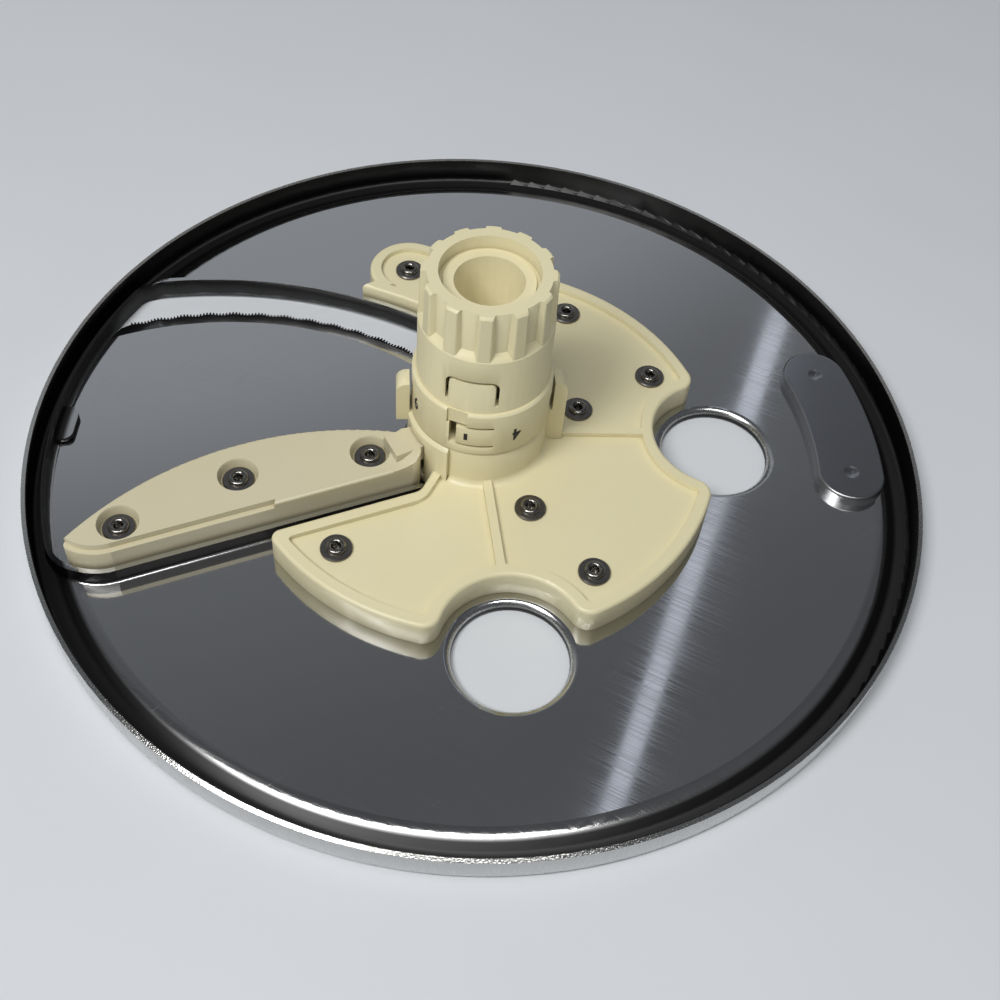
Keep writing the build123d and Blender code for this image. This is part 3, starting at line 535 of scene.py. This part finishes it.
def round_edges(obj: bpy.types.Object, radius_mm: float) -> None:
    """Rounds the sharp edges of a piece.

    Args:
        obj: the piece.
        radius_mm: how far the rounding reaches from an edge, where there is room for it.
    """
    weld = obj.modifiers.new("weld", "WELD")
    weld.merge_threshold = WELD_MM * MM
    bevel = obj.modifiers.new("rounded_edges", "BEVEL")
    bevel.width = radius_mm * MM
    bevel.segments = ROUNDING_STEPS
    bevel.limit_method = "ANGLE"
    bevel.angle_limit = math.radians(SHARP_EDGE_DEG)
    bevel.harden_normals = True


def add_piece(name: str, shape: bmesh.types.BMesh, material: Material) -> bpy.types.Object:
    """Adds a piece that the CAD frame doesn't have.

    Args:
        name: the piece's name.
        shape: its mesh, which is freed here.
        material: what it is made of.

    Returns:
        The new object.
    """
    mesh = bpy.data.meshes.new(name)
    shape.to_mesh(mesh)
    shape.free()
    mesh.materials.append(material)
    piece = bpy.data.objects.new(name, mesh)
    bpy.context.scene.collection.objects.link(piece)
    log.info("added %s in %s", name, material.name)
    return piece


@dataclass
class StampedDisc:
    """Steel disc with its balance weight."""

    # the groove and wall reach set where shade is painted on the disc
    sheet: RolledSteel = RolledSteel("rolled_stainless_disc", groove_mm=(88.0, 94.15), wall_reach_mm=90.0)
    plate: RolledSteel = RolledSteel(
        "rolled_stainless_weight", colour="#A2A3A5", roughness=0.17, anisotropy=0.3,
        raw_edge_level_mm=NO_RAW_EDGE_MM)
    edge_mm: float = 0.2

    def build(self) -> None:
        """Dresses the disc and the weight."""
        round_edges(dress("disc_plate", self.sheet.make()), self.edge_mm)
        dress("balance_weight", self.plate.make())


@dataclass
class BladeCarriage:
    """Serrated blade under its moulded arm, with rivets and washers.

    The blade's edge is an arc about a centre of its own, and its fine teeth stand on that arc.
    """

    blade: RolledSteel = RolledSteel(
        "rolled_stainless_blade", colour="#CBCBCA", grain_angle_deg=-12.0, scratch_share=0.66)
    # painted shade: the teeth are a near black steel, so that the cutting edge reads as a dark band
    painted_dark_tooth_steel: SmallSteel = SmallSteel("tooth_steel_painted_shade", "#2A2A2B", "#1E1E1F", 0.4)
    plastic: MouldedAbs = MouldedAbs("moulded_dull_cream_abs", colour="#D3CBAE", aged_colour="#CDC4A3")
    edge_mm: float = 0.65
    edge_centre_mm: Pair = (-52.2, -38.1)
    edge_inner_mm: float = 74.2
    edge_end_mm: float = 1.5
    tooth_pitch_mm: float = 0.75
    tooth_reach_mm: float = 0.62
    tooth_tip_share: float = 0.3
    tooth_root_mm: float = 0.45
    tooth_root_sheet_mm: float = 0.36
    tooth_tip_sheet_mm: float = 0.3
    tooth_lift_mm: float = 0.01

    def build(self, rivet: Material, washer: Material) -> None:
        """Dresses the carriage and grinds the blade's teeth.

        Args:
            rivet: material of the rivets.
            washer: material of the washers.
        """
        self.grind_teeth(dress("slicing_blade", self.blade.make()))
        round_edges(dress("blade_arm", self.plastic.make()), self.edge_mm)
        dress("arm_rivets", rivet)
        dress("arm_rivet_washers", washer)

    def edge_line(self, leaf: bpy.types.Object) -> list[Pair]:
        """Reads the scalloped cutting edge from the leaf.

        Args:
            leaf: the blade.

        Returns:
            Angle and radius of the edge's points about its own centre, in order of angle.
        """
        centre = Vector((*self.edge_centre_mm, 0.0)) * MM
        arms = [leaf.matrix_world @ v.co - centre for v in leaf.data.vertices]
        polar = [(math.atan2(arm.y, arm.x), math.hypot(arm.x, arm.y)) for arm in arms]
        return sorted(point for point in polar if point[1] > self.edge_inner_mm * MM)

    def grind_teeth(self, leaf: bpy.types.Object) -> None:
        """Puts the fine ground teeth along the leaf's edge.

        Args:
            leaf: the blade.
        """
        line = self.edge_line(leaf)
        underside = min((leaf.matrix_world @ v.co).z for v in leaf.data.vertices)
        floor = underside + self.tooth_lift_mm * MM
        turn = self.tooth_pitch_mm / self.edge_inner_mm
        margin = self.edge_end_mm / self.edge_inner_mm
        first, last = line[0][0] + margin, line[-1][0] - margin
        teeth = bmesh.new()
        for i in range(int((last - first) / turn)):
            middle = first + (i + 0.5) * turn
            near = [radius for angle, radius in line if abs(angle - middle) < turn]
            self.add_tooth(teeth, middle, 0.5 * turn, sum(near) / len(near), floor)
        bmesh.ops.recalc_face_normals(teeth, faces=teeth.faces)
        ground = add_piece("blade_teeth", teeth, self.painted_dark_tooth_steel.make())
        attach(ground, Body.CARRIAGE.value)

    def add_tooth(
        self, teeth: bmesh.types.BMesh, middle: float, half: float, radius: float, floor: float
    ) -> None:
        """Adds one tooth: a wedge that thins towards its blunt tip.

        Args:
            teeth: mesh of all teeth.
            middle: angle of the tip about the edge's centre.
            half: half the angle of the root.
            radius: radius of the edge here.
            floor: level of the tooth's under side.
        """
        root = radius - self.tooth_root_mm * MM
        tip = radius + self.tooth_reach_mm * MM
        tip_half = self.tooth_tip_share * half
        corners = (
            (middle - half, root, self.tooth_root_sheet_mm),
            (middle + half, root, self.tooth_root_sheet_mm),
            (middle + tip_half, tip, self.tooth_tip_sheet_mm),
            (middle - tip_half, tip, self.tooth_tip_sheet_mm),
        )
        low, high = [], []
        for angle, reach, sheet in corners:
            x = self.edge_centre_mm[0] * MM + reach * math.cos(angle)
            y = self.edge_centre_mm[1] * MM + reach * math.sin(angle)
            low.append(teeth.verts.new((x, y, floor)))
            high.append(teeth.verts.new((x, y, floor + sheet * MM)))
        teeth.faces.new(low)
        teeth.faces.new(high)
        for i in range(len(low)):
            j = (i + 1) % len(low)
            teeth.faces.new((low[i], low[j], high[j], high[i]))


@dataclass
class MouldedHub:
    """Hub with its rivets and washers."""

    edge_mm: float = 0.5

    def build(self, plastic: Material, rivet: Material, washer: Material) -> None:
        """Dresses the hub.

        Args:
            plastic: material of the hub.
            rivet: material of the rivets.
            washer: material of the washers.
        """
        round_edges(dress("hub", plastic), self.edge_mm)
        dress("hub_rivets", rivet)
        dress("hub_rivet_washers", washer)


class Stand(Enum):
    """Which way up a numeral stands on the dial."""

    UPRIGHT = 0.0
    INVERTED = math.pi


@dataclass(frozen=True)
class Numeral:
    """One number of the dial.

    Attributes:
        digit: what is stamped.
        angle_deg: where its middle is round the dial.
        stand: which way up it is.
    """

    digit: str
    angle_deg: float
    stand: Stand


@dataclass
class AdjustingKnob:
    """Knob with the numbers and the pointer that are stamped on its dial."""

    ink: MattSkin = MattSkin("hot_stamped_ink", "#0F0B11", "#1F1921", patch_mm=0.5, detail=2.0)
    edge_mm: float = 0.25
    dial_radius_mm: float = 14.5
    level_mm: float = 22.3
    digit_mm: float = 3.1
    font_size_share: float = 1.43
    digit_squeeze: float = 0.82
    digit_weight_mm: float = 0.14
    curve_steps: int = 6
    stencil_half_mm: float = 1.0
    slice_mm: float = 0.4
    ink_sink_mm: float = 0.04
    ink_proud_mm: float = 0.03
    pointer_angle_deg: float = -99.8
    pointer_mm: Pair = (0.75, 1.9)
    numerals: tuple[Numeral, ...] = (
        Numeral("6", -154.0, Stand.UPRIGHT),
        Numeral("4", -58.0, Stand.INVERTED),
        Numeral("3", -10.0, Stand.INVERTED),
        Numeral("2", 38.0, Stand.INVERTED),
        Numeral("1", 86.0, Stand.INVERTED),
    )

    def build(self, plastic: Material) -> None:
        """Dresses the knob and stamps its dial.

        Args:
            plastic: material of the knob.
        """
        round_edges(dress("adjusting_knob", plastic), self.edge_mm)
        stamped = bmesh.new()
        for numeral in self.numerals:
            self.stamp_digit(stamped, numeral)
        self.stamp_pointer(stamped)
        numbers = add_piece("dial_numbers", stamped, self.ink.make())
        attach(numbers, Body.KNOB.value)

    def stamp_digit(self, stamped: bmesh.types.BMesh, numeral: Numeral) -> None:
        """Adds one number to the stamping.

        Args:
            stamped: mesh of all numbers.
            numeral: the number.
        """
        curve = bpy.data.curves.new("digit", "FONT")
        curve.body = numeral.digit
        curve.size = self.font_size_share * self.digit_mm * MM
        curve.offset = self.digit_weight_mm * MM
        curve.extrude = self.stencil_half_mm * MM
        curve.resolution_u = self.curve_steps
        curve.align_x = "CENTER"
        curve.align_y = "CENTER"
        writing = bpy.data.objects.new("digit", curve)
        flat = bpy.data.meshes.new_from_object(writing)
        flat.transform(Matrix.Diagonal((self.digit_squeeze, 1.0, 1.0, 1.0)))
        flat.transform(Matrix.Rotation(numeral.stand.value, 4, "Z"))
        self.wrap(stamped, flat, numeral.angle_deg)
        bpy.data.objects.remove(writing)
        bpy.data.curves.remove(curve)

    def stamp_pointer(self, stamped: bmesh.types.BMesh) -> None:
        """Adds the short bar on the detent tongue.

        Args:
            stamped: mesh of all numbers.
        """
        across, up = (0.5 * size * MM for size in self.pointer_mm)
        bar = bmesh.new()
        half_sizes = Matrix.Diagonal((across, up, self.stencil_half_mm * MM, 1.0))
        bmesh.ops.create_cube(bar, size=2.0, matrix=half_sizes)
        flat = bpy.data.meshes.new("pointer")
        bar.to_mesh(flat)
        bar.free()
        self.wrap(stamped, flat, self.pointer_angle_deg)

    def wrap(self, stamped: bmesh.types.BMesh, flat: bpy.types.Mesh, angle_deg: float) -> None:
        """Bends a flat outline round the dial and adds it to the stamping.

        Args:
            stamped: mesh of all numbers.
            flat: closed outline that lies in the plane of x and y, with its faces at two heights. It is
                removed here.
            angle_deg: where its middle goes.
        """
        part = bmesh.new()
        part.from_mesh(flat)
        reach = max(abs(v.co.x) for v in part.verts)
        steps = int(reach / (self.slice_mm * MM)) + 1
        for i in range(-steps, steps + 1):
            everything = [*part.verts, *part.edges, *part.faces]
            cut_at = (i * self.slice_mm * MM, 0.0, 0.0)
            bmesh.ops.bisect_plane(part, geom=everything, plane_co=cut_at, plane_no=(1.0, 0.0, 0.0))
        for v in part.verts:
            proud = self.ink_proud_mm if v.co.z > 0.0 else -self.ink_sink_mm
            turn = math.radians(angle_deg) + v.co.x / (self.dial_radius_mm * MM)
            radius = (self.dial_radius_mm + proud) * MM
            v.co = Vector((radius * math.cos(turn), radius * math.sin(turn), self.level_mm * MM + v.co.y))
        bent = bpy.data.meshes.new("bent")
        part.to_mesh(bent)
        part.free()
        stamped.from_mesh(bent)
        bpy.data.meshes.remove(bent)
        bpy.data.meshes.remove(flat)


@dataclass(frozen=True)
class Lamp:
    """One soft lamp of the studio.

    Attributes:
        name: the lamp's name.
        place_mm: where it hangs.
        size_mm: its two sides.
        watts: its power.
        target_mm: what it faces.
        long_side: direction of its longer side.
        colour: its colour.
    """

    name: str
    place_mm: Triple
    size_mm: Pair
    watts: float
    target_mm: Triple = (0.0, 0.0, 0.0)
    long_side: Triple = (1.0, 0.0, 0.0)
    colour: str = "#FFFFFF"

    def hang(self) -> None:
        """Hangs the lamp."""
        data = bpy.data.lights.new(self.name, "AREA")
        data.shape = "RECTANGLE"
        data.size = self.size_mm[0] * MM
        data.size_y = self.size_mm[1] * MM
        data.energy = self.watts
        data.color = linear(self.colour)[:3]
        lamp = bpy.data.objects.new(self.name, data)
        back = (Vector(self.place_mm) - Vector(self.target_mm)).normalized()
        along = Vector(self.long_side)
        along = (along - along.dot(back) * back).normalized()
        turn = Matrix((along, back.cross(along), back)).transposed().to_4x4()
        lamp.matrix_world = Matrix.Translation(Vector(self.place_mm) * MM) @ turn
        lamp.visible_camera = False
        bpy.context.scene.collection.objects.link(lamp)


@dataclass
class Studio:
    """Table, lamps, surroundings and camera.

    The steel mirrors the surroundings. Their greys go by how far a direction leans towards the far wall: 0 is
    straight up or on the camera's side, and 1 is level towards that wall.
    """

    table_skin: MattSkin = MattSkin("matt_laminate_table", "#DADDE0", "#D4D7DA", patch_mm=60.0, detail=4.0)
    table_half_mm: float = 2500.0
    lamps: tuple[Lamp, ...] = (
        Lamp("key_lamp", (-500.0, -500.0, 960.0), (350.0, 350.0), 6.2),
        Lamp("top_lamp", (-50.0, -330.0, 950.0), (700.0, 160.0), 4.2),
        Lamp(
            "streak_lamp", (186.0, 452.0, 731.0), (560.0, 18.0), 0.024, target_mm=(45.0, -10.0, 2.5),
            long_side=(0.285, 0.847, -0.452), colour="#E8EEFF"),
    )
    wall_direction: Triple = (-0.35, 0.94, 0.0)
    wall_stops: tuple[Pair, ...] = (
        (0.0, 0.1), (0.25, 0.09), (0.35, 0.13), (0.41, 0.125), (0.46, 0.135), (0.6, 0.2),
        (0.66, 0.31), (0.68, 0.36), (0.77, 0.42), (0.83, 0.32), (0.88, 0.1), (1.0, 0.05),
    )
    wall_tint: Triple = (0.95, 1.0, 1.09)
    horizon_grey: float = 0.45
    horizon_range: Pair = (0.08, 0.14)
    camera_mm: Triple = (0.19, -183.33, 220.84)
    camera_yaw_deg: float = 0.23
    camera_pitch_deg: float = 48.79
    camera_roll_deg: float = -4.57
    camera_focal_px: float = 1306.1
    centre_px: Pair = (483.5, 420.0)

    def build(self) -> None:
        """Builds table, lamps, surroundings and camera."""
        self.build_table()
        self.build_surroundings()
        for lamp in self.lamps:
            lamp.hang()
        self.build_camera()

    def build_table(self) -> None:
        """Lays the pale table under the disc."""
        half = self.table_half_mm * MM
        top = bmesh.new()
        corners = ((-half, -half), (half, -half), (half, half), (-half, half))
        top.faces.new([top.verts.new((x, y, 0.0)) for x, y in corners])
        table = add_piece("table", top, self.table_skin.make())

    def build_surroundings(self) -> None:
        """Makes a room with a pale wall high up behind, a dark side towards the camera and a pale skirting."""
        world = bpy.data.worlds.new("room")
        bpy.context.scene.world = world
        world.use_nodes = True
        tree = world.node_tree
        tree.nodes.clear()
        sight = add_node(tree, "ShaderNodeTexCoord").outputs["Generated"]
        height = add_node(tree, "ShaderNodeSeparateXYZ", {"Vector": sight})
        lean = add_node(tree, "ShaderNodeVectorMath", {
            "operation": "DOT_PRODUCT", 0: sight, 1: self.wall_direction})
        ramp = add_node(tree, "ShaderNodeValToRGB", {"Fac": lean.outputs["Value"]})
        stops = ramp.color_ramp.elements
        while len(stops) < len(self.wall_stops):
            stops.new(0.5)
        for stop, (reach, grey) in zip(stops, self.wall_stops):
            stop.position = reach
            stop.color = (*(grey * tint for tint in self.wall_tint), 1.0)
        low = remap(tree, height.outputs["Z"], (1.0, 0.0), self.horizon_range, "SMOOTHSTEP")
        horizon = (self.horizon_grey, self.horizon_grey, self.horizon_grey, 1.0)
        room = mix_colours(tree, low, ramp.outputs["Color"], horizon)
        light = add_node(tree, "ShaderNodeBackground", {"Strength": 1.0, "Color": room})
        add_node(tree, "ShaderNodeOutputWorld", {"Surface": light.outputs["Background"]})

    def build_camera(self) -> None:
        """Sets the camera at the photo's place, with the frame's centre off its axis by the photo's crop."""
        yaw = math.radians(self.camera_yaw_deg)
        pitch = math.radians(self.camera_pitch_deg)
        roll = math.radians(self.camera_roll_deg)
        forward = Vector((math.sin(yaw) * math.cos(pitch), math.cos(yaw) * math.cos(pitch), -math.sin(pitch)))
        level = Vector((math.cos(yaw), -math.sin(yaw), 0.0))
        down = forward.cross(level)
        right = math.cos(roll) * level + math.sin(roll) * down
        lower = math.cos(roll) * down - math.sin(roll) * level
        turn = Matrix((right, -lower, -forward)).transposed().to_4x4()
        data = bpy.data.cameras.new("camera")
        data.sensor_width = SENSOR_MM
        data.lens = self.camera_focal_px * SENSOR_MM / IMAGE_PIXELS
        data.shift_x = (0.5 * IMAGE_PIXELS - self.centre_px[0]) / IMAGE_PIXELS
        data.shift_y = (self.centre_px[1] - 0.5 * IMAGE_PIXELS) / IMAGE_PIXELS
        camera = bpy.data.objects.new("camera", data)
        camera.matrix_world = Matrix.Translation(Vector(self.camera_mm) * MM) @ turn
        bpy.context.scene.collection.objects.link(camera)
        bpy.context.scene.camera = camera


def main() -> None:
    """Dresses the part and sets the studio."""
    logging.basicConfig(level=logging.INFO, format="%(name)s: %(message)s")
    bpy.context.scene.view_settings.view_transform = "Standard"
    plastic = MouldedAbs().make()
    rivet = SmallSteel("rolled_rivet_steel", "#98958F", "#75726F", 0.24).make()
    washer = SmallSteel("dark_stamped_washer_steel", "#8A8682", "#6A6764", 0.34).make()
    StampedDisc().build()
    BladeCarriage().build(rivet, washer)
    MouldedHub().build(plastic, rivet, washer)
    AdjustingKnob().build(plastic)
    Studio().build()


if __name__ == "__main__":
    main()
